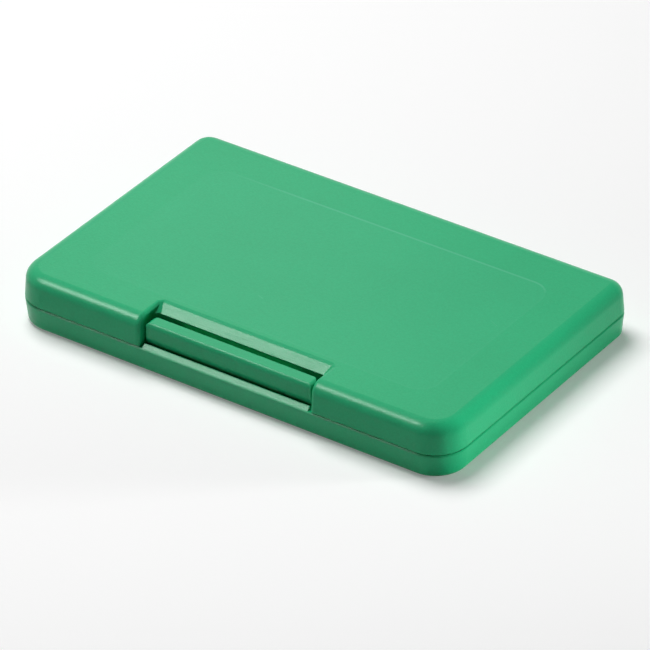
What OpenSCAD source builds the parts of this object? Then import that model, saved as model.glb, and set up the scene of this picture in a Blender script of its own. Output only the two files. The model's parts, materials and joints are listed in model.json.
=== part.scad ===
// Hinged ink pad: a flat plastic case with a snap latch in front and a felt pad inside.
// Frame: X to the right, Y to the back, Z up. The origin is on the underside, at the middle of the case.

/* [Case] */
// Width of the closed case
case_w = 120; // [112:1:140]
// Depth of the closed case, hinge knuckles left out
case_d = 76; // [74:1:90]
// Height of the closed case
case_h = 13.8; // [13.4:0.1:16]
// Height of the line where base and lid meet
parting_h = 6.2; // [5.8:0.1:6.8]
// Open line between the base's rim and the lid's edge
parting_gap = 0.12; // [0.08:0.01:0.3]
// Plan radius of the two front corners
front_corner_r = 8.4; // [6:0.1:11]
// Plan radius of the two rear corners
rear_corner_r = 4.7; // [4.5:0.1:8]
// Radius rolled over the lid's top edge
lid_edge_r = 3.3; // [2.4:0.1:3.5]
// Radius under the base's bottom edge
base_edge_r = 1.4; // [0.8:0.1:2]
// Lean of the lid's walls, in degrees, narrower at the top
lid_draft = 4.7; // [2:0.1:6]
// Lean of the base's walls, in degrees, narrower at the bottom
base_draft = 5.5; // [2:0.1:7]
// Small bevel on the two edges that face each other at the parting line
edge_break = 0.3; // [0.15:0.05:0.5]

/* [Walls] */
// Thickness of the lid's top
lid_top_t = 1.7; // [1.3:0.1:1.9]
// Thickness of the lid's side walls
lid_wall = 2; // [1.6:0.1:2.2]
// Thickness of the base's side walls at the rim
base_wall = 2.15; // [2:0.05:2.6]
// Thickness of the base's floor
floor_t = 1.6; // [1.2:0.1:1.8]
// Thickness of the lip that stands up from the base inside the lid
lip_t = 1; // [0.8:0.05:1.2]
// Height of that lip above the parting line
lip_h = 1.8; // [1.2:0.1:2.2]
// Clearance between the lip and the lid
lip_clear = 0.2; // [0.15:0.05:0.3]
// Thickness of the ribs inside the case
rib_t = 1; // [0.8:0.1:1.2]

/* [Hinge] */
// Distance of each hinge's middle in from the case's side
hinge_in = 26; // [22:1:36]
// Distance of the hinge line behind the back wall
hinge_back = 1.2; // [1:0.1:1.6]
// Outer radius of a knuckle
knuckle_r = 2; // [1.8:0.1:2.2]
// Length of each of the two base knuckles of a hinge
base_knuckle_l = 5; // [4:0.5:6]
// Length of the lid knuckle between them
lid_knuckle_l = 8; // [6:0.5:10]
// Radius of the steel pins
pin_r = 0.8; // [0.6:0.05:0.9]
// Radial clearance of the pin in the lid knuckle
pin_clear = 0.05; // [0.03:0.01:0.08]
// Depth of the pin's ends below the knuckles' end faces
pin_recess = 0.5; // [0.2:0.1:1]
// Gap between parts of a hinge that pass each other
hinge_gap = 0.3; // [0.2:0.05:0.4]

/* [Notch] */
// Width of the notch in the lid's front
notch_w = 47; // [40:1:56]
// Radius that the flat across each rear corner of the notch and its ramp touches
notch_corner_r = 1.6; // [1:0.1:2.4]
// Radius rolled over the notch's upper and outer edges
notch_edge_r = 1.2; // [0.8:0.1:1.8]
// Thickness of the walls round the notch
notch_wall = 1.5; // [1.2:0.1:1.8]
// Run of the finger ramp behind the notch
ramp_run = 2.4; // [1.6:0.1:2.8]
// Drop of the finger ramp
ramp_drop = 2; // [1.4:0.1:2.4]
// Height of the eased edge at the ramp's top, which is half as steep
ramp_ease = 0.35; // [0.2:0.05:0.5]
// Rise of the sill on the base's front edge, below the notch
sill_rise = 0.8; // [0.5:0.05:1]
// Width of the sill's flat crest
sill_crest = 0.15; // [0.1:0.05:0.25]
// Gap between the sill and the latch bar
sill_gap = 0.35; // [0.3:0.05:0.5]

/* [Latch] */
// Gap between each end of the latch bar and the notch's side
bar_gap = 0.7; // [0.6:0.1:2]
// Depth of the latch bar
bar_t = 3.7; // [3.6:0.1:4]
// Distance of the bar's front face behind the case's front
bar_inset = 1.8; // [1.7:0.1:2.2]
// Drop of the bar's top below the lid's top
bar_drop = 1.65; // [1.2:0.05:2]
// Lift of the bar above the parting line
bar_lift = 0.3; // [0.25:0.05:0.5]
// Radius of the bar's front below its top edge
bar_edge_r = 1.7; // [1:0.1:2]
// Turn of that radius from upright up to the top edge, in degrees
bar_edge_turn = 51; // [40:1:60]
// Radius of the bar's top corners, seen from the front
bar_end_r = 1.1; // [0.8:0.1:1.6]
// Radius of the bar's rear corners, seen from above
bar_rear_r = 2.4; // [1.6:0.1:2.4]
// Radius of the bar's front corners, seen from above
bar_front_r = 0.4; // [0.3:0.1:0.8]
// Set-back of the bar's front at its lower edge, where it tips over the sill
bar_relief = 0.6; // [0.5:0.1:0.8]
// Height of that set-back
bar_relief_h = 1.8; // [1.4:0.1:2.2]
// Finger gap between the bar and the wall behind it
finger_gap = 1.8; // [1.7:0.1:2.2]
// Reach of the hook behind the bar
hook_reach = 1.2; // [1.1:0.05:1.3]
// Reach of the lid's catch in front of its wall
catch_reach = 1.1; // [1:0.05:1.2]
// Height of the catch and of the hook's front
catch_h = 1.2; // [0.9:0.1:1.4]
// Height of the catch above the parting line
catch_lift = 1.8; // [1.4:0.1:2.2]
// Clearance between hook and catch
catch_clear = 0.15; // [0.1:0.05:0.25]
// Distance of the hook's and the catch's ends in from the bar's ends
hook_inset = 6.7; // [5:0.1:9]
// Radius of the round foot that the latch turns on
foot_r = 0.9; // [0.7:0.05:1]
// Radial clearance of the foot in its socket
foot_clear = 0.06; // [0.04:0.01:0.08]
// Distance of the foot's ends in from the bar's ends
foot_inset = 4; // [3.6:0.1:7]
// Thickness of the neck between foot and bar
neck_t = 1; // [0.8:0.05:1.1]
// Distance of the foot's axis behind the bar's front face
foot_back = 1.8; // [1.7:0.1:2]

/* [Pad] */
// Distance from the case's side to the pad's frame
pad_side_gap = 11.3; // [7:0.1:16]
// Distance from the case's back to the pad's frame
pad_rear_gap = 11.8; // [7:0.1:16]
// Gap between the wall behind the notch and the pad's frame
pad_front_gap = 1; // [0.6:0.1:4]
// Corner radius of the window
window_r = 3; // [2:0.5:5]
// Width of the frame's flange round the window
flange_w = 3.7; // [3.4:0.1:4]
// Thickness of the frame's flange
flange_t = 0.7; // [0.6:0.1:0.9]
// Thickness of the frame's skirt
skirt_t = 1.1; // [0.9:0.1:1.2]
// Height of the frame's skirt below the flange
skirt_h = 2.4; // [1.6:0.1:3]
// Thickness of the tray's floor
tray_t = 0.9; // [0.7:0.1:1]
// Thickness of the tray's walls
tray_wall = 1.1; // [0.9:0.1:1.2]
// Thickness of the felt
felt_t = 3.4; // [3:0.1:3.6]
// Thickness of the foam on the felt
foam_t = 1.1; // [0.9:0.1:1.2]
// Thickness of the cloth
cloth_t = 0.5; // [0.3:0.05:0.5]
// Clearance between the pieces of the pad
pad_clear = 0.2; // [0.1:0.05:0.25]
// Distance from the window's edge to the middle of the lid's rib
rib_out = 2.2; // [1.8:0.1:2.4]
// Clearance of the lid's rib above the frame
rib_clear = 0.2; // [0.15:0.05:0.4]
// Height of the fence that holds the tray
fence_h = 2; // [1.4:0.1:2.2]

/* [Hidden] */
$fn = 96;

case_green = "#52B58B";
insert_green = "#2F8F66";
tray_white = "#E6E8E2";
felt_grey = "#B9C4B6";
foam_green = "#2C6B4C";
cloth_green = "#0F5A3A";
pin_steel = "#B9BDC1";

// Overshoot of cutting shapes past the faces that they cut
over = 1;
// Tilts of the flats that make up the round on the notch's edges
round_tilts = [15, 45, 75];
// Lift of the ramp's lower edge on the flats across the notch's corners
corner_rise = 0.15;
// Turns that the round on the notch's edge takes over the lid's top edge
edge_turns = 6;
// Radius of a profile's edge disc over the round that it makes
disc_bite = 1.003;
// Depth that ribs, webs and roots run into what they stand on
sink = 0.2;

// Heights
base_top = parting_h - parting_gap / 2;
lid_bottom = parting_h + parting_gap / 2;
ceiling = case_h - lid_top_t;
lip_top = parting_h + lip_h;

// Distances in from the case's outer face
lip_in = base_wall - lip_t;
rebate_in = lip_in - lip_clear;
rebate_top = lip_top + hinge_gap;
ceiling_bevel = 0.8;

// Hinge line and the pieces along it
hinge_x = case_w / 2 - hinge_in;
hinge_y = case_d / 2 + hinge_back;
hinge_l = 2 * base_knuckle_l + lid_knuckle_l + 2 * hinge_gap;
web_share = 0.8;
web_top = web_share * knuckle_r;

// Latch and notch, from the front of the case to the back
bar_w = notch_w - 2 * bar_gap;
hook_w = bar_w - 2 * hook_inset;
foot_l = bar_w - 2 * foot_inset;
front_y = -case_d / 2;
bar_y0 = front_y + bar_inset;
bar_y1 = bar_y0 + bar_t;
notch_y = bar_y1 + finger_gap;
bar_z0 = parting_h + bar_lift;
bar_z1 = case_h - bar_drop;
catch_z0 = parting_h + catch_lift;
catch_z1 = catch_z0 + catch_h;
hook_z0 = catch_z1 + catch_clear;
foot_y = bar_y0 + foot_back;
socket_floor = 0.5;
socket_wall = 0.7;
socket_wrap = 0.62;
cheek_t = 1.2;
foot_z = floor_t + socket_floor + foot_clear + foot_r;
socket_top = foot_z + socket_wrap * foot_r;

// Pad stack, from the floor up
felt_z = floor_t + tray_t;
clamp_z = felt_z + felt_t;
flange_z = clamp_z + cloth_t;
frame_top = flange_z + flange_t;
crown_z = clamp_z + foam_t;

// Pad in plan
frame_y0 = notch_y + notch_wall + pad_front_gap;
frame_y1 = case_d / 2 - pad_rear_gap;
pad_y = (frame_y0 + frame_y1) / 2;
frame_w = case_w - 2 * pad_side_gap;
frame_d = frame_y1 - frame_y0;
frame_r = window_r + flange_w;
window_w = frame_w - 2 * flange_w;
window_d = frame_d - 2 * flange_w;
tray_in = skirt_t + pad_clear;
felt_in = tray_in + tray_wall + pad_clear;

// Quarter of a disc in the first quadrant
module quarter_disc(r) {
    intersection() {
        circle(r);
        square(2 * r);
    }
}

// Disc for an edge round of a wall profile, cut flat at the top.
// It stands a hair out, so it crosses the drafted wall.
module edge_disc(r) {
    intersection() {
        circle(disc_bite * r);
        square([2 * r, r]);
    }
}

// Waste beyond one flat of an edge round; the sharp corner is at the origin, the body below and left of it
module flat_waste(r, tilt) {
    translate([-r, -r]) rotate(tilt) translate([r, -2 * r]) square([over, 4 * r]);
}

// Rectangle that stands on the X axis, its two upper corners round
module round_top(w, h, r) {
    translate([-w / 2, 0]) square([w, h - r]);
    translate([-(w / 2 - r), 0]) square([w - 2 * r, h]);
    for (side = [0, 1])
        mirror([side, 0]) translate([w / 2 - r, h - r]) quarter_disc(r);
}

// Rectangle about the origin with round corners
module rounded_rect(w, d, r) {
    square([w, d - 2 * r], center = true);
    square([w - 2 * r, d], center = true);
    for (turn = [0 : 3])
        rotate(90 * turn)
            translate(turn % 2 == 0 ? [w / 2 - r, d / 2 - r] : [d / 2 - r, w / 2 - r])
                quarter_disc(r);
}

// Carries a profile along X at the back wall, from corner to corner
module run_back(corner_r, $reach) {
    translate([-(case_w / 2 - corner_r), case_d / 2, 0])
        rotate([90, 0, 90])
            linear_extrude(case_w - 2 * corner_r) children();
}

// Carries a profile along the right wall
module run_right($reach) {
    translate([case_w / 2, case_d / 2 - rear_corner_r, 0])
        rotate([90, 0, 0])
            linear_extrude(case_d - front_corner_r - rear_corner_r) children();
}

// Turns a profile round the corner that lies at this quarter turn
module corner_sweep(turn, $reach) {
    side_x = (turn == 0 || turn == 3) ? 1 : -1;
    side_y = turn < 2 ? 1 : -1;
    translate([side_x * (case_w / 2 - $reach), side_y * (case_d / 2 - $reach), 0])
        rotate(90 * turn)
            rotate_extrude(angle = 90)
                intersection() {
                    translate([$reach, 0]) children();
                    translate([0, -over]) square([2 * $reach, case_h + 2 * over]);
                }
}

// Solid under a wall profile that goes all round the case.
// The profile reaches in by $reach from the outer face.
module case_sweep() {
    mirror([0, 1, 0]) run_back(front_corner_r, case_d - rear_corner_r) children();
    run_back(rear_corner_r, rear_corner_r) children();
    run_right(front_corner_r) children();
    mirror([1, 0, 0]) run_right(front_corner_r) children();
    for (turn = [0 : 3]) corner_sweep(turn, turn < 2 ? rear_corner_r : front_corner_r) children();
}

// Place of the lid's and the base's outer face at a height, from the face at the parting line
function lid_face(z) = -(z - lid_bottom) * tan(lid_draft);
function base_face(z) = -(base_top - z) * tan(base_draft);

// Centre of the round on the lid's top edge, from the outer face
lid_round = [lid_face(case_h) - lid_edge_r / tan(45 + lid_draft / 2), case_h - lid_edge_r];

module lid_profile() {
    polygon([
        [-$reach, lid_bottom],
        [-edge_break, lid_bottom],
        [lid_face(lid_bottom + edge_break), lid_bottom + edge_break],
        lid_round + lid_edge_r * [cos(lid_draft), sin(lid_draft)],
        lid_round + [0, lid_edge_r],
        [-$reach, case_h]
    ]);
    translate(lid_round) edge_disc(lid_edge_r);
}

module lid_hollow_profile() {
    bevel_z = ceiling - ceiling_bevel;
    polygon([
        [-$reach, lid_bottom - over],
        [-rebate_in, lid_bottom - over],
        [-rebate_in, rebate_top],
        [lid_face(rebate_top) - lid_wall, rebate_top],
        [lid_face(bevel_z) - lid_wall, bevel_z],
        [lid_face(bevel_z) - lid_wall - ceiling_bevel, ceiling],
        [-$reach, ceiling]
    ]);
}

module base_profile() {
    bottom_round = [base_face(0) - base_edge_r / tan(45 + base_draft / 2), base_edge_r];
    polygon([
        [-$reach, 0],
        bottom_round - [0, base_edge_r],
        bottom_round + base_edge_r * [cos(base_draft), -sin(base_draft)],
        [base_face(base_top - edge_break), base_top - edge_break],
        [-edge_break, base_top],
        [-$reach, base_top]
    ]);
    translate(bottom_round) mirror([0, 1]) edge_disc(base_edge_r);
}

module lip_profile() {
    polygon([
        [-$reach, floor_t],
        [-lip_in, floor_t],
        [-lip_in, lip_top - edge_break],
        [-lip_in - edge_break, lip_top],
        [-$reach, lip_top]
    ]);
}

module base_hollow_profile() {
    polygon([
        [-$reach, floor_t],
        [-base_wall, floor_t],
        [-base_wall, lip_top + over],
        [-$reach, lip_top + over]
    ]);
}

// Outline of the notch's walls, open at the front
module notch_wall_plan() {
    y0 = front_y - over;
    translate([0, y0])
        round_top(notch_w + 2 * notch_wall, notch_y + notch_wall - y0, notch_corner_r + notch_wall);
}

// Room in front of the notch's rear wall and of the finger ramp above it.
// The wall stands at Y = 0, and the ramp starts this far above the ramp's own lower edge.
module ramp_room(rise) {
    h = case_h - lid_bottom + 2 * over;
    foot = h - over - ramp_drop + rise;
    ease = foot + ramp_drop - ramp_ease;
    run = ramp_run / ramp_drop;
    translate([-case_w, 0, lid_bottom - over])
        rotate([90, 0, 90])
            linear_extrude(2 * case_w)
                polygon([
                    [-case_d, 0],
                    [0, 0],
                    [0, foot],
                    [run * (ease - foot), ease],
                    [run * (ease - foot) + 2 * run * (h - ease), h],
                    [-case_d, h]
                ]);
}

// Room of the flat across the notch's right rear corner
module corner_room() {
    translate([notch_w / 2 - notch_corner_r, notch_y - notch_corner_r, 0])
        rotate(-45)
            translate([0, notch_corner_r, 0]) ramp_room(corner_rise);
}

// Notch in the lid with its rounded edges and the finger ramp behind it
module notch_cut() {
    intersection() {
        union() {
            translate([-notch_w / 2, front_y - over, lid_bottom - over])
                cube([notch_w, case_d, case_h - lid_bottom + 2 * over]);
            notch_edge_cut();
            mirror([1, 0, 0]) notch_edge_cut();
        }
        translate([0, notch_y, 0]) ramp_room(0);
        corner_room();
        mirror([1, 0, 0]) corner_room();
    }
}

// Waste of the round on the notch's right edge: up the lid's front and over its top.
// Each flat goes over the top edge in straight runs along tangents; its neighbours turn at other places.
module notch_edge_cut() {
    axis_y = front_y - lid_round[0];
    end_y = notch_y + 2 * ramp_run;
    translate([0, axis_y, lid_round[1]])
        rotate([90, 0, 90])
            for (i = [0 : len(round_tilts) - 1])
                for (run = [0 : edge_turns]) {
                    inner = run > 0 && run < edge_turns;
                    turn = run - (inner && i % 2 == 1 ? 1 / 2 : 0);
                    back = run == 0 ? end_y - axis_y : lid_edge_r;
                    ahead = run == edge_turns ? lid_round[1] : lid_edge_r;
                    rotate(90 + turn * (90 - lid_draft) / edge_turns)
                        translate([lid_edge_r, ahead, notch_w / 2])
                            rotate([90, 0, 0])
                                linear_extrude(back + ahead)
                                    mirror([0, 1]) flat_waste(notch_edge_r, round_tilts[i]);
                }
}

// Sill along the base's front edge, below the latch bar; its front slopes up to the back
module sill() {
    back = bar_inset - sill_gap;
    translate([-bar_w / 2, front_y, base_top])
        rotate([90, 0, 90])
            linear_extrude(bar_w)
                polygon([
                    [edge_break, -sink],
                    [edge_break, 0],
                    [back - sill_crest, sill_rise],
                    [back, sill_rise],
                    [back, -sink]
                ]);
}

// Section of one knuckle about the hinge line, with its web to the wall.
// The web is above the parting line where up is 1, and below it where up is -1.
module knuckle_section(bore_r, up) {
    web_l = hinge_back + edge_break + sink;
    difference() {
        union() {
            circle(knuckle_r);
            translate([-web_l, up > 0 ? parting_gap / 2 : -web_top])
                square([web_l, web_top - parting_gap / 2]);
        }
        circle(bore_r);
    }
}

// Places a section along X on the hinge line, from x0 over a length
module along_hinge(x0, l) {
    translate([x0, hinge_y, parting_h])
        rotate([90, 0, 90]) linear_extrude(l) children();
}

// Start of each of the two base knuckles, and of the lid knuckle, of the hinge on one side
function base_knuckles(side) = [for (end = [0, 1])
    side * hinge_x - hinge_l / 2 + end * (hinge_l - base_knuckle_l)];
function lid_knuckle(side) = side * hinge_x - lid_knuckle_l / 2;

// Room round a knuckle of the other half
module knuckle_room(x0, l) {
    along_hinge(x0 - hinge_gap, l + 2 * hinge_gap) circle(knuckle_r + hinge_gap);
}

// Socket for the latch's round foot, with a cheek at each end
module latch_socket() {
    socket_l = foot_l + 2 * hinge_gap;
    socket_r = foot_r + foot_clear;
    y0 = front_y + base_wall - sink;
    y1 = foot_y + socket_r + socket_wall;
    h = socket_top - floor_t + sink;
    mouth = 2 * socket_r * cos(asin(socket_wrap * foot_r / socket_r));
    translate([-socket_l / 2, 0, 0])
        rotate([90, 0, 90])
            linear_extrude(socket_l)
                difference() {
                    translate([y0, floor_t - sink]) square([y1 - y0, h]);
                    translate([foot_y, foot_z]) circle(socket_r);
                    translate([foot_y - mouth / 2, foot_z]) square([mouth, foot_r]);
                }
    for (side = [-1, 1])
        translate([(side * (socket_l + cheek_t) - cheek_t) / 2, y0, floor_t - sink])
            cube([cheek_t, y1 - y0, h]);
}

// Fence on the floor that the pad's tray drops into
module tray_fence() {
    w = frame_w - 2 * tray_in + 2 * pad_clear;
    d = frame_d - 2 * tray_in + 2 * pad_clear;
    r = frame_r - tray_in + pad_clear;
    translate([0, pad_y, floor_t - sink])
        linear_extrude(fence_h + sink)
            difference() {
                rounded_rect(w + 2 * rib_t, d + 2 * rib_t, r + rib_t);
                rounded_rect(w, d, r);
            }
}

// Rib under the lid's top that lands on the pad's frame and keeps the ink from drying
module seal_rib() {
    z0 = frame_top + rib_clear;
    w = window_w + 2 * rib_out;
    d = window_d + 2 * rib_out;
    r = window_r + rib_out;
    translate([0, pad_y, z0])
        linear_extrude(ceiling - z0 + sink)
            difference() {
                rounded_rect(w + rib_t, d + rib_t, r + rib_t / 2);
                rounded_rect(w - rib_t, d - rib_t, r - rib_t / 2);
            }
}

module base_shell() {
    color(case_green)
        difference() {
            union() {
                difference() {
                    union() {
                        case_sweep() base_profile();
                        case_sweep() lip_profile();
                    }
                    case_sweep() base_hollow_profile();
                    translate([-(notch_w / 2 + notch_wall + hinge_gap), front_y, base_top])
                        cube([notch_w + 2 * (notch_wall + hinge_gap), notch_y - front_y, lip_h + over]);
                }
                sill();
                tray_fence();
                latch_socket();
            }
            for (side = [-1, 1]) knuckle_room(lid_knuckle(side), lid_knuckle_l);
        }
    color(case_green)
        for (side = [-1, 1])
            for (x0 = base_knuckles(side))
                along_hinge(x0, base_knuckle_l) knuckle_section(pin_r, -1);
}

module lid_shell() {
    color(case_green) {
        difference() {
            case_sweep() lid_profile();
            difference() {
                case_sweep() lid_hollow_profile();
                translate([0, 0, lid_bottom]) linear_extrude(case_h - lid_bottom) notch_wall_plan();
            }
            notch_cut();
            for (side = [-1, 1])
                for (x0 = base_knuckles(side)) knuckle_room(x0, base_knuckle_l);
        }
        seal_rib();
        translate([-hook_w / 2, 0, 0])
            rotate([90, 0, 90])
                linear_extrude(hook_w)
                    polygon([
                        [notch_y + sink, catch_z0 - catch_reach / 2],
                        [notch_y, catch_z0 - catch_reach / 2],
                        [notch_y - catch_reach, catch_z0 + catch_reach / 2],
                        [notch_y - catch_reach, catch_z1],
                        [notch_y + sink, catch_z1]
                    ]);
        for (side = [-1, 1])
            along_hinge(lid_knuckle(side), lid_knuckle_l) knuckle_section(pin_r + pin_clear, 1);
    }
}

// Plan of the latch bar, front edge on the X axis
module bar_plan() {
    h = bar_t + over;
    intersection() {
        translate([0, -over]) round_top(bar_w, h, bar_rear_r);
        translate([0, h]) mirror([0, 1]) round_top(bar_w, h, bar_front_r);
    }
}

// Side view of the latch bar; its front leans back at the foot, and at the top in a round that the top cuts off
module bar_side() {
    round_h = bar_edge_r * sin(bar_edge_turn);
    polygon([
        [bar_y0 + bar_relief, bar_z0],
        [bar_y1, bar_z0],
        [bar_y1, bar_z1 - edge_break],
        [bar_y1 - edge_break, bar_z1],
        [bar_y0 + bar_edge_r * (1 - cos(bar_edge_turn)), bar_z1],
        [bar_y0, bar_z1 - round_h],
        [bar_y0, bar_z0 + bar_relief_h]
    ]);
    translate([bar_y0 + bar_edge_r, bar_z1 - round_h])
        mirror([1, 0])
            intersection() {
                circle(bar_edge_r);
                square([bar_edge_r, round_h]);
            }
}

module latch_tongue() {
    neck_l = foot_l - 2 * hinge_gap;
    color(case_green) {
        intersection() {
            translate([0, bar_y0, bar_z0 - over]) linear_extrude(bar_z1 - bar_z0 + 2 * over) bar_plan();
            translate([0, bar_y1 + over, bar_z0])
                rotate([90, 0, 0])
                    linear_extrude(bar_t + 2 * over) round_top(bar_w, bar_z1 - bar_z0, bar_end_r);
            translate([-bar_w / 2 - over, 0, 0])
                rotate([90, 0, 90]) linear_extrude(bar_w + 2 * over) bar_side();
        }
        translate([-neck_l / 2, foot_y - neck_t / 2, foot_z])
            cube([neck_l, neck_t, bar_z0 - foot_z + sink]);
        translate([-foot_l / 2, foot_y, foot_z]) rotate([0, 90, 0]) cylinder(r = foot_r, h = foot_l);
        translate([-hook_w / 2, 0, 0])
            rotate([90, 0, 90])
                linear_extrude(hook_w)
                    polygon([
                        [bar_y1 - sink, hook_z0],
                        [bar_y1 + hook_reach, hook_z0],
                        [bar_y1 + hook_reach, hook_z0 + catch_h / 2],
                        [bar_y1 - sink, hook_z0 + catch_h]
                    ]);
    }
}

module hinge_pin(side) {
    l = hinge_l - 2 * pin_recess;
    color(pin_steel)
        translate([side * hinge_x - l / 2, hinge_y, parting_h])
            rotate([0, 90, 0]) cylinder(r = pin_r, h = l);
}

module hinge_pin_left() {
    hinge_pin(-1);
}

module hinge_pin_right() {
    hinge_pin(1);
}

// Plate of the pad, set in from the frame's outline, between two heights
module pad_plate(inset, z0, z1) {
    translate([0, pad_y, z0])
        linear_extrude(z1 - z0) rounded_rect(frame_w - 2 * inset, frame_d - 2 * inset, frame_r - inset);
}

module pad_tray() {
    color(tray_white)
        difference() {
            pad_plate(tray_in, floor_t, clamp_z);
            pad_plate(tray_in + tray_wall, felt_z, clamp_z + over);
        }
}

module ink_felt() {
    color(felt_grey) pad_plate(felt_in, felt_z, clamp_z);
}

module ink_foam() {
    color(foam_green) pad_plate(flange_w + pad_clear + cloth_t, clamp_z, crown_z);
}

module pad_cloth() {
    color(cloth_green)
        difference() {
            union() {
                pad_plate(tray_in, clamp_z, flange_z);
                pad_plate(flange_w + pad_clear, clamp_z, crown_z + cloth_t);
            }
            pad_plate(flange_w + pad_clear + cloth_t, clamp_z - over, crown_z);
        }
}

module pad_frame() {
    color(insert_green)
        difference() {
            pad_plate(0, flange_z - skirt_h, frame_top);
            pad_plate(skirt_t, flange_z - skirt_h - over, flange_z);
            pad_plate(flange_w, flange_z - over, frame_top + over);
        }
}

base_shell();
lid_shell();
latch_tongue();
hinge_pin_left();
hinge_pin_right();
pad_tray();
ink_felt();
ink_foam();
pad_cloth();
pad_frame();
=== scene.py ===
"""Looks of a hinged ink pad: a snap-latched plastic case and the inked pad that it holds.

Lengths are in metres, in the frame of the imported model: X to the right, Y to the back, Z up.
"""

import json
import logging
import math
from dataclasses import dataclass
from enum import Enum
from functools import reduce

import bpy
from mathutils import Matrix, Vector, noise

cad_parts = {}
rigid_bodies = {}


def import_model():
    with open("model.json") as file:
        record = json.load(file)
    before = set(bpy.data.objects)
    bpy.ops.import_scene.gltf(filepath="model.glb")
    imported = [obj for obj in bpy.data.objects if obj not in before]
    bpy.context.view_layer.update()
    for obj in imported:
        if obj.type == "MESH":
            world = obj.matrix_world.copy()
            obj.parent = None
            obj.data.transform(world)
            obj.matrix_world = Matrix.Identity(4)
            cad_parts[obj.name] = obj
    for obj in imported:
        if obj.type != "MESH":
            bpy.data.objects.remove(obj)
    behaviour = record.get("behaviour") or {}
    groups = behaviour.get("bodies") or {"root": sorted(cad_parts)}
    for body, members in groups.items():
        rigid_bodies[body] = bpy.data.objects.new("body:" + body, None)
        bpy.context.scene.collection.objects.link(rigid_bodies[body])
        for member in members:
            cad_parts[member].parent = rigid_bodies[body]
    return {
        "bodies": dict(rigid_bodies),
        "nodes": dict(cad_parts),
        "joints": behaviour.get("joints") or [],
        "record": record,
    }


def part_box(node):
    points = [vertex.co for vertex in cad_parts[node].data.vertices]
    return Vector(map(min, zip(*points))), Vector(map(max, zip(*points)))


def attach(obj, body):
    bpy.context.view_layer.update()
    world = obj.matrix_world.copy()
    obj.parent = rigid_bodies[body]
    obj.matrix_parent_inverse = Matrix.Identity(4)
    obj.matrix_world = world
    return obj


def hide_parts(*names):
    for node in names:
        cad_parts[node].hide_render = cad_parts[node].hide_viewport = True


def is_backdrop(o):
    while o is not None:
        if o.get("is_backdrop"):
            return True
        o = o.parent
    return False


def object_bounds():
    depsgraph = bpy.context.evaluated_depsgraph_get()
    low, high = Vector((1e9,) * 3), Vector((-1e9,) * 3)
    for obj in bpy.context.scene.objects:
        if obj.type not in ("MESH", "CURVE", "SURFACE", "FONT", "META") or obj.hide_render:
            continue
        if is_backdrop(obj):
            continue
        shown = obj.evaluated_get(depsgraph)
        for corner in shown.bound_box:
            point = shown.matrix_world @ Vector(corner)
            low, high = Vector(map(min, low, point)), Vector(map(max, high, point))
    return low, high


MM = 0.001

Colour = tuple[float, float, float]
Point = tuple[float, float]
Span = tuple[float, float]
Stretch = tuple[float, float, float]
Socket = bpy.types.NodeSocket
Value = float | Colour | Stretch | Socket

log = logging.getLogger("ink_pad")


class Body(Enum):
    """Body that the new pieces ride on."""

    BASE = "base"


class Slot(Enum):
    """Material slots of the part's record."""

    FELT = "felt"
    FOAM = "foam"
    CLOTH = "cloth"


class Reach(Enum):
    """What a lamp is seen in."""

    MATTE = (True, False)
    GLOSS = (False, True)


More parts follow.
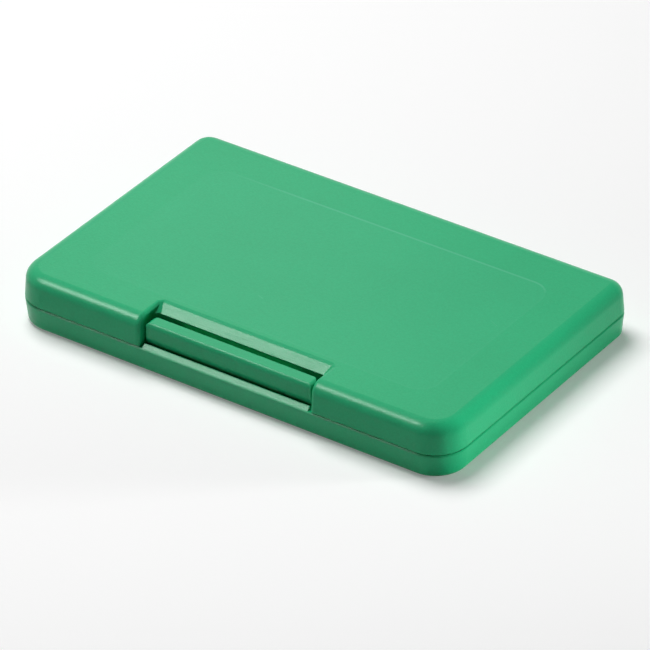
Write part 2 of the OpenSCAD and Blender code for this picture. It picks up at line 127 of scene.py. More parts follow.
class Graph:
    """Node tree of one material, with short calls for the nodes that the finishes use."""

    def __init__(self, name: str) -> None:
        """Starts an empty material.

        Args:
            name: Name of the material.
        """
        self.material = bpy.data.materials.new(name)
        self.material.use_nodes = True
        self.tree = self.material.node_tree
        self.tree.nodes.clear()

    def node(self, kind: str, inputs: dict[str | int, Value] | None = None, **settings: object) -> bpy.types.Node:
        """Adds a node.

        Args:
            kind: Type of the node, without its ShaderNode prefix.
            inputs: Values or sockets for its inputs, by name or index.
            **settings: Properties of the node.

        Returns:
            The new node.
        """
        made = self.tree.nodes.new("ShaderNode" + kind)
        for key, value in settings.items():
            setattr(made, key, value)
        for key, value in (inputs or {}).items():
            self.feed(made.inputs[key], value)
        return made

    def feed(self, socket: Socket, value: Value) -> None:
        """Sets or links an input.

        Args:
            socket: The input.
            value: A number, a colour or vector, or the socket that feeds it.
        """
        if isinstance(value, Socket):
            self.tree.links.new(value, socket)
        elif socket.type == "RGBA":
            socket.default_value = (*value, 1.0)
        else:
            socket.default_value = value

    def maths(self, operation: str, *values: Value) -> Socket:
        """Returns the result of a Math node, from the name of its operation and its operands."""
        return self.node("Math", dict(enumerate(values)), operation=operation).outputs[0]

    def product(self, *values: Value) -> Socket:
        """Returns the product of two or more values."""
        return reduce(lambda first, second: self.maths("MULTIPLY", first, second), values)

    def vector(self, operation: str, *values: Value, output: str = "Vector") -> Socket:
        """Returns the wanted output of a Vector Math node, from the name of its operation and its operands."""
        return self.node("VectorMath", dict(enumerate(values)), operation=operation).outputs[output]

    def place(self) -> Socket:
        """Returns the place on the piece, in metres."""
        return self.node("TexCoord").outputs["Object"]

    def axes(self, place: Socket) -> list[Socket]:
        """Returns the three coordinates of a place."""
        return list(self.node("SeparateXYZ", {0: place}).outputs)

    def noise(self, place: Socket, size: float, detail: float = 3.0) -> Socket:
        """Returns a noise around one half, read at a place, by the size of its blobs and its finer layers."""
        return self.node("TexNoise", {"Vector": place, "Scale": 1 / size, "Detail": detail}).outputs[0]

    def spread(self, value: Value, low: float, high: float, start: float = 0.0, end: float = 1.0,
               smooth: bool = False) -> Socket:
        """Maps a range of values to another, and holds its ends.

        Args:
            value: What is mapped.
            low: Value that becomes start.
            high: Value that becomes end.
            start: Result at low.
            end: Result at high.
            smooth: Whether the step is smooth at both ends.

        Returns:
            The mapped value.
        """
        kind = "SMOOTHSTEP" if smooth else "LINEAR"
        inputs = {"Value": value, "From Min": low, "From Max": high, "To Min": start, "To Max": end}
        return self.node("MapRange", inputs, interpolation_type=kind).outputs["Result"]

    def mix(self, share: Value, first: Value, second: Value) -> Socket:
        """Mixes two colours.

        Args:
            share: Share of the second one.
            first: The first colour.
            second: The second colour.

        Returns:
            The mixed colour.
        """
        made = self.node("Mix", {0: share}, data_type="RGBA")
        self.feed(made.inputs[6], first)
        self.feed(made.inputs[7], second)
        return made.outputs[2]

    def bump(self, height: Value, depth: float, normal: Value | None = None) -> Socket:
        """Adds a bump.

        Args:
            height: Height from 0 to 1.
            depth: Depth that 1 stands for.
            normal: Normal that it is laid over.

        Returns:
            The bumped normal.
        """
        inputs = {"Height": height, "Distance": depth, "Strength": 1.0}
        if normal is not None:
            inputs["Normal"] = normal
        return self.node("Bump", inputs).outputs[0]

    def surface(self, inputs: dict[str, Value]) -> bpy.types.Material:
        """Ends the tree with a Principled shader that has these inputs, and returns the material."""
        shader = self.node("BsdfPrincipled", inputs)
        return self.end(shader.outputs[0])

    def end(self, shader: Socket) -> bpy.types.Material:
        """Links a shader to the material's output and returns the material."""
        self.node("OutputMaterial", {"Surface": shader})
        return self.material


class WorldGraph(Graph):
    """Node tree of the world."""

    def __init__(self, name: str) -> None:
        """Starts an empty world and gives it to the scene.

        Args:
            name: Name of the world.
        """
        world = bpy.data.worlds.new(name)
        world.use_nodes = True
        self.tree = world.node_tree
        self.tree.nodes.clear()
        bpy.context.scene.world = world


@dataclass(frozen=True)
class Scratch:
    """Fine mark on the lid's top, straight from one place to another."""

    start: Point
    end: Point
    width: float
    tone: float
    full_share: float = 0.3

    def mask(self, graph: Graph, place: Socket) -> Socket:
        """Draws the mark.

        Args:
            graph: The material's nodes.
            place: Place on the lid.

        Returns:
            1 on the mark's middle, and 0 off it.
        """
        start, end = Vector((*self.start, 0)), Vector((*self.end, 0))
        along, length = (end - start).normalized(), (end - start).length
        across = Vector((-along.y, along.x, 0))
        offset = graph.vector("SUBTRACT", place, tuple(start))
        aside = graph.maths("ABSOLUTE", graph.vector("DOT_PRODUCT", offset, tuple(across), output="Value"))
        ahead = graph.vector("DOT_PRODUCT", offset, tuple(along), output="Value")
        from_middle = graph.maths("ABSOLUTE", graph.maths("SUBTRACT", ahead, length / 2))
        thin = graph.spread(aside, 0, self.width, 1, 0)
        inside = graph.spread(from_middle, self.full_share * length, length / 2, 1, 0)
        return graph.product(thin, inside)


@dataclass(frozen=True)
class Moulding:
    """Satin moulded plastic: spark-eroded grain, faint clouds of colour and slightly eased edges."""

    name: str
    colour: Colour
    tint: Colour
    roughness: float = 0.3
    gloss: float = 0.22
    grain: float = 0.4 * MM
    grain_depth: float = 0.03 * MM
    grain_range: Span = (0.25, 0.75)
    grain_share: float = 0.7
    cloud: float = 24 * MM
    cloud_range: Span = (0.3, 0.7)
    cloud_share: float = 0.3
    edge: float = 0.22 * MM
    edge_samples: int = 4

    def material(self) -> bpy.types.Material:
        """Makes the plastic.

        Returns:
            Its material.
        """
        graph = Graph(self.name)
        place = graph.place()
        grain = graph.noise(place, self.grain, detail=2)
        cloud = graph.noise(place, self.cloud, detail=2)
        tone = graph.maths("ADD", graph.spread(cloud, *self.cloud_range, 0, self.cloud_share),
                           graph.spread(grain, *self.grain_range, 0, self.grain_share))
        colour = graph.mix(tone, self.colour, self.tint)
        edge = graph.node("Bevel", {"Radius": self.edge}, samples=self.edge_samples).outputs[0]
        normal = graph.bump(grain, self.grain_depth, edge)
        colour, normal = self.marked(graph, place, colour, normal)
        return graph.surface({
            "Base Color": colour,
            "Roughness": self.roughness,
            "Specular IOR Level": self.gloss,
            "Normal": normal,
        })

    def marked(self, graph: Graph, place: Socket, colour: Socket, normal: Socket) -> tuple[Socket, Socket]:
        """Returns the colour and the normal with the marks of the surface; plain plastic has none."""
        return colour, normal


@dataclass(frozen=True)
class LidMoulding(Moulding):
    """The lid's plastic, with the sink line over its rib, drawn as a shallow bump lightened as a painted highlight,
    and the marks of use on its top.
    """

    top: float = 13.8 * MM
    skin: float = 0.05 * MM
    line_middle: Point = (0.0, -0.95 * MM)
    line_half: Point = (47.2 * MM, 25.65 * MM)
    line_corner: float = 5 * MM
    line_width: float = 0.45 * MM
    line_depth: float = 0.008 * MM
    # Share of the lighter colour along the sink line: a painted highlight.
    line_highlight: float = 0.48
    panel_tone: float = 0.05
    back_fade: Span = (22 * MM, 24.6 * MM)
    front_share: float = 0.15
    left_fade: Span = (-44 * MM, -22 * MM)
    left_share: float = 0.05
    ramp_half: float = 23 * MM
    ramp_back: float = -26 * MM
    ramp_drop: float = 0.1 * MM
    streak: float = 0.3 * MM
    streak_stretch: Stretch = (0.05, 1.0, 1.0)
    streak_depth: float = 0.05 * MM
    # Lighter colour: a painted highlight along the sink line, and real wear on the pale scratches.
    wear_and_highlight: Colour = (0.1, 0.5, 0.3)
    dark: Colour = (0.0, 0.2, 0.08)
    scratches: tuple[Scratch, ...] = (
        Scratch((15.1 * MM, 19.3 * MM), (12.6 * MM, -9.1 * MM), 0.11 * MM, 0.16),
        Scratch((45.5 * MM, 24.5 * MM), (51.1 * MM, 24.2 * MM), 0.16 * MM, 0.1),
        Scratch((51.1 * MM, 24.2 * MM), (56.0 * MM, 25.0 * MM), 0.16 * MM, 0.08),
        Scratch((42.4 * MM, 6.0 * MM), (45.4 * MM, 4.6 * MM), 0.14 * MM, -0.3),
        Scratch((-6.9 * MM, -14.7 * MM), (-4.8 * MM, -15.3 * MM), 0.2 * MM, -0.35),
    )

    def marked(self, graph: Graph, place: Socket, colour: Socket, normal: Socket) -> tuple[Socket, Socket]:
        """Adds the sink line, as a shallow bump with a painted highlight, and the scratches to the lid's top.

        Args:
            graph: The material's nodes.
            place: Place on the lid.
            colour: Colour so far.
            normal: Normal so far.

        Returns:
            The colour and the normal with the marks.
        """
        x, y, z = graph.axes(place)
        on_top = graph.maths("GREATER_THAN", z, self.top - self.skin)
        distance = self.from_line(graph, x, y)
        line = graph.spread(graph.maths("ABSOLUTE", distance), 0, self.line_width, 1, 0, smooth=True)
        line = graph.product(line, self.fade(graph, x, y), on_top)
        panel = graph.spread(distance, -self.line_width, self.line_width, self.panel_tone, 0)
        normal = graph.bump(line, self.line_depth, self.streaked(graph, place, normal))
        # Lightens the sink line as a painted highlight that fades as the line does; the panel inside the line is a
        # little lighter.
        share = graph.maths("ADD", graph.product(line, self.line_highlight), graph.product(panel, on_top))
        colour = graph.mix(share, colour, self.wear_and_highlight)
        for scratch in self.scratches:
            share = graph.product(scratch.mask(graph, place), on_top, abs(scratch.tone))
            colour = graph.mix(share, colour, self.dark if scratch.tone > 0 else self.wear_and_highlight)
        return colour, normal

    def streaked(self, graph: Graph, place: Socket, normal: Socket) -> Socket:
        """Draws the polishing streaks along the ramp of the notch.

        Args:
            graph: The material's nodes.
            place: Place on the lid.
            normal: Normal so far.

        Returns:
            The normal with the streaks.
        """
        x, y, z = graph.axes(place)
        on_ramp = graph.product(graph.maths("LESS_THAN", graph.maths("ABSOLUTE", x), self.ramp_half),
                                graph.maths("LESS_THAN", y, self.ramp_back),
                                graph.maths("LESS_THAN", z, self.top - self.ramp_drop))
        streaks = graph.noise(graph.vector("MULTIPLY", place, self.streak_stretch), self.streak)
        return graph.bump(graph.product(streaks, on_ramp), self.streak_depth, normal)

    def from_line(self, graph: Graph, x: Socket, y: Socket) -> Socket:
        """Measures how far a place is outside the line that shows over the rib under the lid's top.

        Args:
            graph: The material's nodes.
            x: Place along the case.
            y: Place across the case.

        Returns:
            The distance, below zero inside the line.
        """
        sides = []
        for value, middle, half in zip((x, y), self.line_middle, self.line_half):
            from_middle = graph.maths("ABSOLUTE", graph.maths("SUBTRACT", value, middle))
            sides.append(graph.maths("SUBTRACT", from_middle, half - self.line_corner))
        out = [graph.maths("MAXIMUM", side, 0.0) for side in sides]
        outside = graph.vector("LENGTH", graph.node("CombineXYZ", {0: out[0], 1: out[1]}).outputs[0], output="Value")
        inside = graph.maths("MINIMUM", graph.maths("MAXIMUM", *sides), 0.0)
        return graph.maths("SUBTRACT", graph.maths("ADD", outside, inside), self.line_corner)

    def fade(self, graph: Graph, x: Socket, y: Socket) -> Socket:
        """Tells how clearly the line and its painted highlight show: well at the back, where the line catches the
        light, hardly at the front and on the left.

        Args:
            graph: The material's nodes.
            x: Place along the case.
            y: Place across the case.

        Returns:
            The line's strength, up to 1.
        """
        back = graph.spread(y, *self.back_fade, self.front_share, 1)
        left = graph.spread(x, *self.left_fade, self.left_share, 1)
        return graph.product(back, left)


@dataclass(frozen=True)
class BaseMoulding(Moulding):
    """The base's plastic, with the fine steps that run along the sill in front of the tongue."""

    sill_half: float = 24 * MM
    sill_back: float = -35 * MM
    sill_foot: float = 6.2 * MM
    step: float = 0.27 * MM
    step_depth: float = 0.006 * MM

    def marked(self, graph: Graph, place: Socket, colour: Socket, normal: Socket) -> tuple[Socket, Socket]:
        """Adds the steps to the sill.

        Args:
            graph: The material's nodes.
            place: Place on the base.
            colour: Colour so far.
            normal: Normal so far.

        Returns:
            The colour and the normal with the marks.
        """
        x, y, z = graph.axes(place)
        on_sill = graph.product(graph.maths("LESS_THAN", graph.maths("ABSOLUTE", x), self.sill_half),
                                graph.maths("LESS_THAN", y, self.sill_back),
                                graph.maths("GREATER_THAN", z, self.sill_foot))
        steps = graph.maths("SINE", graph.product(z, 2 * math.pi / self.step))
        return colour, graph.bump(graph.product(steps, on_sill), self.step_depth, normal)


@dataclass(frozen=True)
class DrawnWire:
    """Bright drawn steel wire, with fine lines along its length."""

    name: str = "pin_wire"
    colour: Colour = (0.62, 0.63, 0.65)
    line_colour: Colour = (0.5, 0.51, 0.53)
    roughness: Span = (0.22, 0.36)
    line: float = 0.05 * MM
    line_depth: float = 0.003 * MM
    contrast: Span = (0.35, 0.65)
    stretch: float = 40.0

    def material(self) -> bpy.types.Material:
        """Makes the wire.

        Returns:
            Its material.
        """
        graph = Graph(self.name)
        drawn = graph.vector("MULTIPLY", graph.place(), (1 / self.stretch, 1.0, 1.0))
        lines = graph.noise(drawn, self.line, detail=2)
        return graph.surface({
            "Base Color": graph.mix(graph.spread(lines, *self.contrast), self.colour, self.line_colour),
            "Metallic": 1.0,
            "Roughness": graph.spread(lines, *self.contrast, *self.roughness),
            "Normal": graph.bump(lines, self.line_depth),
        })


@dataclass(frozen=True)
class PressedFelt:
    """Wool felt soaked with ink, with matted fibres."""

    name: str = "inked_felt"
    colour: Colour = (0.06, 0.2, 0.12)
    fibre_colour: Colour = (0.12, 0.32, 0.2)
    fibre: float = 0.5 * MM
    fibre_depth: float = 0.12 * MM
    curl: float = 1.5 * MM
    curl_size: float = 4 * MM
    contrast: Span = (0.35, 0.65)
    roughness: float = 0.92
    sheen: float = 0.35
    sheen_roughness: float = 0.6

    def material(self) -> bpy.types.Material:
        """Makes the felt.

        Returns:
            Its material.
        """
        graph = Graph(self.name)
        place = graph.place()
        warp = graph.node("TexNoise", {"Vector": place, "Scale": 1 / self.curl_size}).outputs[1]
        drift = graph.node("VectorMath", {0: warp, "Scale": self.curl}, operation="SCALE").outputs[0]
        bent = graph.vector("ADD", place, drift)
        fibres = graph.noise(bent, self.fibre, detail=6)
        return graph.surface({
            "Base Color": graph.mix(graph.spread(fibres, *self.contrast), self.colour, self.fibre_colour),
            "Roughness": self.roughness,
            "Sheen Weight": self.sheen,
            "Sheen Roughness": self.sheen_roughness,
            "Normal": graph.bump(fibres, self.fibre_depth),
        })


@dataclass(frozen=True)
class OpenFoam:
    """Fine open-cell foam, damp with ink, with painted shade in its cells."""

    name: str = "inked_foam"
    # Colour of the cells: darker than the walls, painted shade in the pores.
    colour: Colour = (0.02, 0.13, 0.075)
    wall_colour: Colour = (0.05, 0.22, 0.13)
    cell: float = 0.45 * MM
    cell_depth: float = 0.15 * MM
    wall: Span = (0.02, 0.3)
    roughness: float = 0.7

    def material(self) -> bpy.types.Material:
        """Makes the foam.

        Returns:
            Its material.
        """
        graph = Graph(self.name)
        cells = graph.node("TexVoronoi", {"Vector": graph.place(), "Scale": 1 / self.cell},
                           feature="DISTANCE_TO_EDGE").outputs[0]
        # Walls are light and the cells between them darker: painted shade in the pores.
        walls = graph.spread(cells, *self.wall, 1, 0, smooth=True)
        return graph.surface({
            "Base Color": graph.mix(walls, self.colour, self.wall_colour),
            "Roughness": self.roughness,
            "Normal": graph.bump(walls, self.cell_depth),
        })


@dataclass(frozen=True)
class InkedCloth:
    """Plain-weave cotton soaked with ink, with painted shade in the valleys between its threads."""

    name: str = "inked_cloth"
    colour: Colour = (0.006, 0.085, 0.045)
    # Colour of the thread crowns: lighter than the valleys as painted shade in the weave, scaled by the uneven ink.
    wear_and_highlight: Colour = (0.03, 0.2, 0.115)
    pitch: float = 0.8 * MM
    thread_depth: float = 0.16 * MM
    thread_round: float = 0.7
    # Power on the weave's height that sets the painted shade between threads.
    thread_light: float = 1.6
    wander: float = 0.12 * MM
    wander_size: float = 6 * MM
    fluff: float = 0.25
    fluff_size: float = 0.12 * MM
    stain: float = 11 * MM
    stain_range: Span = (0.35, 0.7)
    stain_least: float = 0.3
    roughness: Span = (0.48, 0.72)
    gloss: float = 0.4
    sheen: float = 0.15
    sheen_roughness: float = 0.5

    def material(self) -> bpy.types.Material:
        """Makes the cloth.

        Returns:
            Its material.
        """
        graph = Graph(self.name)
        place = graph.place()
        wander = graph.spread(graph.noise(place, self.wander_size, detail=2), 0, 1, -self.wander, self.wander)
        x, y, _ = (graph.maths("ADD", value, wander) for value in graph.axes(place))
        warp, weft = self.thread(graph, x), self.thread(graph, y)
        over = self.parity(graph, x, y)
        weave = graph.node("Mix", {0: over, 2: warp, 3: weft}, data_type="FLOAT").outputs[0]
        fluff = graph.noise(place, self.fluff_size)
        height = graph.maths("ADD", weave, graph.product(fluff, self.fluff))
        stain = graph.spread(graph.noise(place, self.stain, detail=4), *self.stain_range)
        # Lighter thread crowns and darker valleys between them: painted shade in the weave, scaled by the uneven ink
        # stains.
        light = graph.product(graph.maths("POWER", weave, self.thread_light),
                              graph.maths("ADD", stain, self.stain_least))
        return graph.surface({
            "Base Color": graph.mix(light, self.colour, self.wear_and_highlight),
            "Roughness": graph.spread(stain, 0, 1, *self.roughness),
            "Specular IOR Level": self.gloss,
            "Sheen Weight": self.sheen,
            "Sheen Roughness": self.sheen_roughness,
            "Normal": graph.bump(height, self.thread_depth),
        })

    def thread(self, graph: Graph, value: Socket) -> Socket:
        """Returns the round height of the threads that lie side by side along a direction."""
        wave = graph.maths("SINE", graph.product(value, math.pi / self.pitch))
        return graph.maths("POWER", graph.maths("ABSOLUTE", wave), self.thread_round)

    def parity(self, graph: Graph, x: Socket, y: Socket) -> Socket:
        """Returns 1 where the weft lies on top, and 0 where the warp does."""
        counts = [graph.maths("FLOOR", graph.maths("DIVIDE", value, self.pitch)) for value in (x, y)]
        return graph.maths("FLOORED_MODULO", graph.maths("ADD", *counts), 2.0)


def new_piece(name: str, points: list[Vector], faces: list[list[int]],
              material: bpy.types.Material) -> bpy.types.Object:
    """Makes a smooth mesh piece.

    Args:
        name: Name of the piece.
        points: Its vertices.
        faces: Its faces.
        material: Its material.

    Returns:
        The new object, linked to the scene.
    """
    mesh = bpy.data.meshes.new(name)
    mesh.from_pydata([tuple(p) for p in points], [], faces)
    mesh.validate()
    mesh.shade_smooth()
    mesh.materials.append(material)
    piece = bpy.data.objects.new(name, mesh)
    bpy.context.scene.collection.objects.link(piece)
    return piece


def apply_modifiers(piece: bpy.types.Object) -> None:
    """Bakes a piece's modifiers into its mesh.

    Args:
        piece: The piece.
    """
    depsgraph = bpy.context.evaluated_depsgraph_get()
    mesh = bpy.data.meshes.new_from_object(piece.evaluated_get(depsgraph))
    piece.modifiers.clear()
    piece.data = mesh


def dress(frame: dict, node: str, material: bpy.types.Material) -> None:
    """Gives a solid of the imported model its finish.

    Args:
        frame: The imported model.
        node: Name of the solid.
        material: Its finish.
    """
    mesh = frame["nodes"][node].data
    mesh.materials.clear()
    mesh.materials.append(material)
    log.info("dressed %s with %s", node, material.name)


def rounded_outline(half: Point, radius: float, sides: tuple[int, int], arc: int) -> list[Point]:
    """Goes round a rectangle with round corners.

    Args:
        half: Half of its width and depth.
        radius: Corner radius.
        sides: Number of steps along each X side and each Y side.
        arc: Number of steps round each corner.

    Returns:
        The points, counterclockwise from where the right side meets the rear right corner.
    """
    inner = (half[0] - radius, half[1] - radius)
    corners = [(inner[0] * x, inner[1] * y) for x, y in ((1, 1), (-1, 1), (-1, -1), (1, -1))]
    points = []
    for quarter, centre in enumerate(corners):
        turn = quarter * math.pi / 2
        for step in range(arc):
            angle = turn + math.pi / 2 * step / arc
            points.append((centre[0] + radius * math.cos(angle), centre[1] + radius * math.sin(angle)))
        target = corners[(quarter + 1) % len(corners)]
        normal = (round(math.cos(turn + math.pi / 2)), round(math.sin(turn + math.pi / 2)))
        count = sides[quarter % 2]
        for step in range(count):
            share = step / count
            points.append(tuple(centre[i] + (target[i] - centre[i]) * share + radius * normal[i] for i in (0, 1)))
    return points


def direction(azimuth: float, elevation: float) -> Vector:
    """Returns the direction away from the object, by its angles round from the front and above the floor."""
    level = math.cos(elevation)
    return Vector((math.sin(azimuth) * level, -math.cos(azimuth) * level, math.sin(elevation)))


@dataclass
class Slab:
    """Soft slab with round corners, eased edges and a slightly crowned top."""

    name: str
    node: str
    slot: Slot
    finish: PressedFelt | OpenFoam
    corner: float
    edge: float
    crown: float
    rough: float
    rough_size: float
    spare: float = 0.05 * MM
    least_corner: float = 0.3 * MM
    rings: int = 18
    edge_steps: int = 6
    side_steps: tuple[int, int] = (60, 34)
    corner_steps: int = 8
    ring_reach: float = 0.97
    crown_share: float = 0.5
    rough_sink: float = 0.6

    def sections(self, low: Vector, high: Vector) -> list[Span]:
        """Lists the slab's rings from the middle of its underside over its edge to the middle of its top.

        Args:
            low: Lowest corner of the slab.
            high: Highest corner of the slab.

        Returns:
            The inset and the height of each ring.
        """
        depth = (high.y - low.y) / 2
        inner = [self.edge + (depth - self.edge) * (i / self.rings) * self.ring_reach for i in range(self.rings + 1)]
        shoulder = high.z - self.crown
        under = [(inset, low.z) for inset in reversed(inner)]
        rise = []
        for centre, first in ((low.z + self.edge, -90), (shoulder - self.edge, 0)):
            for step in range(1, self.edge_steps + 1):
                angle = math.radians(first + 90 * step / self.edge_steps)
                rise.append((self.edge * (1 - math.cos(angle)), centre + self.edge * math.sin(angle)))
        top = []
        for inset in inner[1:]:
            share = min(1.0, (inset - self.edge) / (self.crown_share * depth))
            top.append((inset, shoulder + self.crown * math.sin(share * math.pi / 2)))
        return under + rise + top

    def build(self) -> bpy.types.Object:
        """Makes the slab in the place of its solid.

        Returns:
            The slab.
        """
        low, high = (Vector(corner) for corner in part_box(self.node))
        spare = Vector((self.spare, self.spare, self.spare))
        low, high = low + spare, high - spare
        middle = (low + high) / 2
        half = (high - low) / 2
        points, faces, count = [], [], 0
        for inset, z in self.sections(low, high):
            radius = max(self.corner - inset, self.least_corner)
            ring = rounded_outline((half.x - inset, half.y - inset), radius, self.side_steps, self.corner_steps)
            count = len(ring)
            points += [Vector((middle.x + x, middle.y + y, z)) for x, y in ring]
        for start in range(0, len(points) - count, count):
            for i in range(count):
                after = (i + 1) % count
                faces.append([start + i, start + after, start + count + after, start + count + i])
        faces.append(list(reversed(range(count))))
        faces.append(list(range(len(points) - count, len(points))))
        piece = new_piece(self.name, points, faces, self.finish.material())
        self.roughen(piece, low, high)
        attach(piece, Body.BASE.value)
        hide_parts(self.node)
        log.info("built %s with %d faces", self.name, len(faces))
        return piece

    def roughen(self, piece: bpy.types.Object, low: Vector, high: Vector) -> None:
        """Gives the slab the uneven skin of a soft material, inside its own box.

        Args:
            piece: The slab.
            low: Lowest corner that it keeps to.
            high: Highest corner that it keeps to.
        """
        normals = [vertex.normal.copy() for vertex in piece.data.vertices]
        for vertex, normal in zip(piece.data.vertices, normals):
            depth = (noise.noise(vertex.co / self.rough_size) - self.rough_sink) * self.rough
            moved = vertex.co + normal * depth
            vertex.co = [min(max(moved[i], low[i]), high[i]) for i in range(3)]


@dataclass
class Cover:
    """Woven cloth that is stretched over the foam and held under the frame all round."""

    name: str = "inked_cover"
    node: str = "pad_cloth"
    thickness: float = 0.45 * MM
    clamp_top: float = 6.4 * MM
    flange: float = 3.7 * MM
    gap: float = 0.25 * MM
    corner: float = 3.0 * MM
    clamp_corner: float = 5.4 * MM
    edge: float = 0.9 * MM
    step: float = 0.75 * MM
    pucker: float = 0.05 * MM
    pucker_size: float = 7 * MM
    slack: float = 0.25 * MM
    pressure: float = 4.0
    enlarged: float = 10.0
    frames: int = 20
    held_spare: float = 0.01 * MM

    def build(self) -> bpy.types.Object:
        """Makes the cloth in the place of its solid.

        Returns:
            The cloth.
        """
        low, high = (Vector(corner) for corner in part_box(self.node))
        middle, half = (low + high) / 2, (high - low) / 2
        frame_low, frame_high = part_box("pad_frame")
        window = (frame_high - frame_low) / 2 - Vector((self.flange, self.flange, 0))
        columns = round(2 * half.x / self.step)
        rows = round(2 * half.y / self.step)
        points, faces = [], []
        for j in range(rows + 1):
            for i in range(columns + 1):
                x = half.x * (2 * i / columns - 1)
                y = half.y * (2 * j / rows - 1)
                x, y = self.inside((x, y), (half.x, half.y), self.clamp_corner)
                z = self.height((x, y), (window.x - self.gap, window.y - self.gap), high.z)
                points.append(Vector((middle.x + x, middle.y + y, z)))
        for j in range(rows):
            for i in range(columns):
                first = j * (columns + 1) + i
                faces.append([first, first + 1, first + columns + 2, first + columns + 1])
        piece = new_piece(self.name, points, faces, InkedCloth().material())
        self.swell(piece, high.z)
        shell = piece.modifiers.new("thickness", "SOLIDIFY")
        shell.thickness = self.thickness
        shell.offset = -1
        apply_modifiers(piece)
        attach(piece, Body.BASE.value)
        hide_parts(self.node)
        log.info("built %s with %d faces", self.name, len(piece.data.polygons))
        return piece

    def swell(self, piece: bpy.types.Object, top: float) -> None:
        """Lets the foam press the cloth up between its held borders, by cloth simulation at a larger scale.

        Args:
            piece: The cloth, still without thickness.
            top: Height that it stays under.
        """
        scene = bpy.context.scene
        start = [vertex.co.copy() for vertex in piece.data.vertices]
        held = [i for i, place in enumerate(start) if place.z < self.clamp_top + self.held_spare]
        piece.vertex_groups.new(name="held").add(held, 1.0, "REPLACE")
        piece.scale = (self.enlarged,) * 3
        settings = piece.modifiers.new("swell", "CLOTH").settings
        settings.vertex_group_mass = "held"
        settings.use_pressure = True
        settings.uniform_pressure_force = self.pressure
        settings.effector_weights.gravity = 0
        for frame in range(1, self.frames + 1):
            scene.frame_set(frame)
        apply_modifiers(piece)
        piece.vertex_groups.clear()
        piece.scale = (1, 1, 1)
        scene.frame_set(1)
        moves = []
        for vertex, before in zip(piece.data.vertices, start):
            move = vertex.co - before
            moves.append(move.length)
            vertex.co = before + move * (self.slack / move.length if move.length > self.slack else 1.0)
            vertex.co.z = min(vertex.co.z, top)
        log.info("swelled %s by up to %.2f mm", self.name, max(moves) / MM)

    def inside(self, place: Point, half: Point, radius: float) -> Point:
        """Pulls a place into a rectangle with round corners.

        Args:
            place: The place, from the middle.
            half: Half of the rectangle's width and depth.
            radius: Corner radius.

        Returns:
            The place, moved onto the corner's arc if it lay outside it.
        """
        over = [abs(place[i]) - (half[i] - radius) for i in (0, 1)]
        reach = math.hypot(*over)
        if min(over) <= 0 or reach <= radius:
            return place
        scale = radius / reach
        return tuple(math.copysign(half[i] - radius + over[i] * scale, place[i]) for i in (0, 1))

    def height(self, place: Point, half: Point, top: float) -> float:
        """Works out the height of the cloth's upper face.

        Args:
            place: The place, from the middle.
            half: Half of the part that rises in the window.
            top: Height of the crown.

        Returns:
            The height.
        """
        over = [abs(place[i]) - (half[i] - self.corner) for i in (0, 1)]
        outside = math.hypot(max(over[0], 0), max(over[1], 0))
        depth = self.corner - outside - min(max(over), 0)
        share = min(max(depth / self.edge, 0), 1)
        rise = math.sqrt(1 - (1 - share) ** 2)
        waves = noise.noise(Vector((*place, 0)) / self.pucker_size) * self.pucker
        crown = top - self.slack - self.pucker + waves * share
        return self.clamp_top + (crown - self.clamp_top) * rise


@dataclass
class Case:
    """The moulded case: base, lid and snap tongue, with two hinge pins."""

    colour: Colour = (0.009, 0.375, 0.154)
    tint: Colour = (0.014, 0.445, 0.188)

    def dress(self, frame: dict) -> None:
        """Gives the case's solids their finishes.

        Args:
            frame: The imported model.
        """
        plain = Moulding("case_plastic_grain", self.colour, self.tint).material()
        base = BaseMoulding("base_plastic_grain", self.colour, self.tint).material()
        lid = LidMoulding("lid_plastic_grain", self.colour, self.tint).material()
        wire = DrawnWire().material()
        for node, material in (("base_shell", base), ("lid_shell", lid), ("latch_tongue", plain),
                               ("hinge_pin_left", wire), ("hinge_pin_right", wire)):
            dress(frame, node, material)


@dataclass
class Pad:
    """The ink pad itself: a tray of felt and foam under a cloth that a frame holds down."""

    frame_colour: Colour = (0.012, 0.18, 0.085)
    frame_tint: Colour = (0.016, 0.21, 0.1)
    tray_colour: Colour = (0.7, 0.72, 0.66)
    tray_tint: Colour = (0.76, 0.78, 0.73)

    def build(self) -> None:
        """Makes the felt, the foam and the cloth."""
        Slab("felt_block", "ink_felt", Slot.FELT, PressedFelt(), corner=4 * MM, edge=0.4 * MM, crown=0.1 * MM,
             rough=0.12 * MM, rough_size=0.9 * MM).build()
        Slab("foam_layer", "ink_foam", Slot.FOAM, OpenFoam(), corner=2.3 * MM, edge=0.3 * MM, crown=0.12 * MM,
             rough=0.06 * MM, rough_size=0.7 * MM).build()
        Cover().build()

    def dress(self, frame: dict) -> None:
        """Gives the pad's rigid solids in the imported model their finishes."""
        dress(frame, "pad_frame", Moulding("frame_plastic_grain", self.frame_colour, self.frame_tint).material())
        dress(frame, "pad_tray", Moulding("tray_plastic_grain", self.tray_colour, self.tray_tint).material())


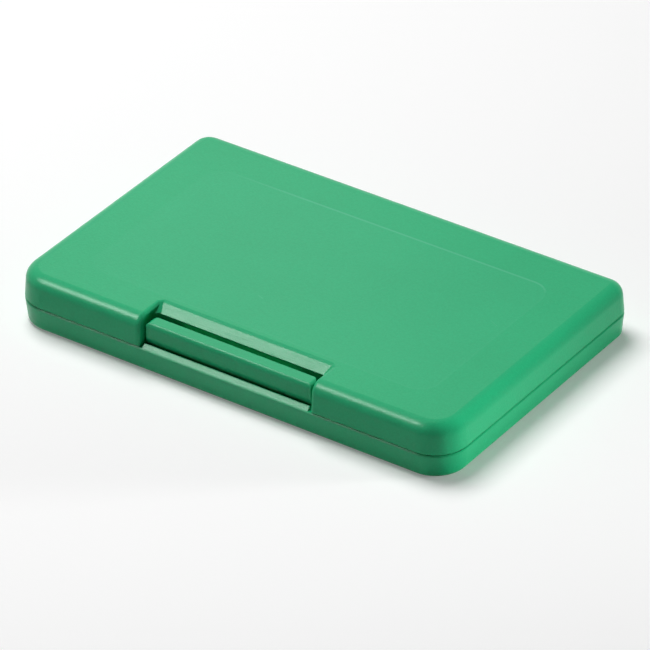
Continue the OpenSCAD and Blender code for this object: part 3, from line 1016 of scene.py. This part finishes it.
@dataclass(frozen=True)
class Lamp:
    """Soft box; its level is what it adds to the brightness of a white card that faces it."""

    name: str
    azimuth: float
    elevation: float
    distance: float
    size: float
    level: float
    reach: Reach
    height: float = 0.0
    beam: float = 180.0
    aim: Point = (0.0, 0.0)

    def build(self, target: Vector) -> None:
        """Hangs the lamp and turns it to the object.

        Args:
            target: The place that it faces.
        """
        away = direction(math.radians(self.azimuth), math.radians(self.elevation))
        light = bpy.data.lights.new(self.name, "AREA")
        light.shape = "RECTANGLE"
        light.size, light.size_y = self.size, self.height or self.size
        light.spread = math.radians(self.beam)
        half = light.spread / 2
        light.energy = self.level * (1 - half / math.tan(half)) * (math.pi * self.distance) ** 2
        lamp = bpy.data.objects.new(self.name, light)
        lamp.location = target + away * self.distance
        facing = lamp.location - target - Vector((*self.aim, 0))
        lamp.rotation_euler = facing.to_track_quat("Z", "Y").to_euler()
        lamp.visible_diffuse, lamp.visible_glossy = self.reach.value
        bpy.context.scene.collection.objects.link(lamp)
        log.info("hung %s", self.name)


@dataclass
class Studio:
    """White sweep, soft lamps and the camera."""

    lamps: tuple[Lamp, ...] = (
        Lamp("top_box", azimuth=-105, elevation=68, distance=0.9, size=0.5, level=1.0, reach=Reach.MATTE),
        Lamp("key_box", azimuth=-49, elevation=48, distance=0.7, size=0.25, level=0.86, reach=Reach.GLOSS),
        Lamp("side_box", azimuth=120, elevation=4, distance=0.6, size=0.12, level=1.7, height=0.06, beam=17,
             aim=(60 * MM, -60 * MM), reach=Reach.MATTE),
        Lamp("rear_box", azimuth=-138.5, elevation=32, distance=0.48, size=0.14, level=0.027, reach=Reach.GLOSS),
        Lamp("high_box", azimuth=-122, elevation=58, distance=0.6, size=0.6, level=0.14, reach=Reach.GLOSS),
    )
    fill: float = 0.03
    floor_size: float = 6.0
    floor_grey: float = 0.84
    floor_glow: float = 0.2
    floor_drop: float = 0.05 * MM
    azimuth: float = 35.35
    elevation: float = 33.19
    roll: float = -0.8
    distance: float = 1319 * MM
    aside: float = 0.95 * MM
    above: float = 0.2 * MM
    lens: float = 319.6
    sensor: float = 36.0
    far: float = 100.0

    def build(self, target: Vector) -> None:
        """Sets up the floor, the light and the camera.

        Args:
            target: Middle of the object.
        """
        self.build_floor()
        self.build_world()
        for lamp in self.lamps:
            lamp.build(target)
        self.build_camera()
        bpy.context.scene.view_settings.view_transform = "Standard"

    def seen(self, graph: Graph) -> Socket:
        """Picks the rays that show the background: from the camera, in gloss and through glass.

        Args:
            graph: The nodes that use it.

        Returns:
            1 for those rays, and 0 for the others.
        """
        path = graph.node("LightPath").outputs
        gloss = graph.maths("ADD", path["Is Glossy Ray"], path["Is Transmission Ray"])
        return graph.maths("MINIMUM", graph.maths("ADD", path["Is Camera Ray"], gloss), 1.0)

    def build_floor(self) -> None:
        """Lays the pale floor, which keeps the object's shadow."""
        graph = Graph("pale_floor")
        card = graph.node("BsdfDiffuse", {"Color": (self.floor_grey,) * 3}).outputs[0]
        glow = graph.node("Emission", {"Strength": graph.product(self.seen(graph), self.floor_glow)})
        material = graph.end(graph.node("AddShader", {0: card, 1: glow.outputs[0]}).outputs[0])
        side = self.floor_size / 2
        corners = [Vector((x * side, y * side, -self.floor_drop)) for x, y in ((-1, -1), (1, -1), (1, 1), (-1, 1))]
        floor = new_piece("floor", corners, [[0, 1, 2, 3]], material)
        floor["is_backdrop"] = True

    def build_world(self) -> None:
        """Makes the even fill light, with white behind the object."""
        graph = WorldGraph("studio")
        level = graph.spread(self.seen(graph), 0, 1, self.fill, 1)
        background = graph.node("Background", {"Color": (1.0, 1.0, 1.0), "Strength": level})
        graph.node("OutputWorld", {"Surface": background.outputs[0]})

    def build_camera(self) -> None:
        """Puts the camera at the photograph's viewing angle."""
        azimuth, elevation, roll = (math.radians(a) for a in (self.azimuth, self.elevation, self.roll))
        back = direction(azimuth, elevation)
        level = Vector((math.cos(azimuth), math.sin(azimuth), 0))
        upright = back.cross(level)
        right = math.cos(roll) * level + math.sin(roll) * upright
        up = back.cross(right)
        data = bpy.data.cameras.new("view")
        data.lens = self.lens
        data.sensor_width = self.sensor
        data.clip_end = self.far
        camera = bpy.data.objects.new("view", data)
        turned = Matrix((right, up, back)).transposed().to_4x4()
        turned.translation = back * self.distance + right * self.aside + up * self.above
        camera.matrix_world = turned
        bpy.context.scene.collection.objects.link(camera)
        bpy.context.scene.camera = camera


def main() -> None:
    """Builds the ink pad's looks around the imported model."""
    logging.basicConfig(level=logging.INFO, format="%(name)s: %(message)s")
    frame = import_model()
    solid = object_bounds()
    Case().dress(frame)
    pad = Pad()
    pad.dress(frame)
    pad.build()
    Studio().build((solid[0] + solid[1]) / 2)


if __name__ == "__main__":
    main()
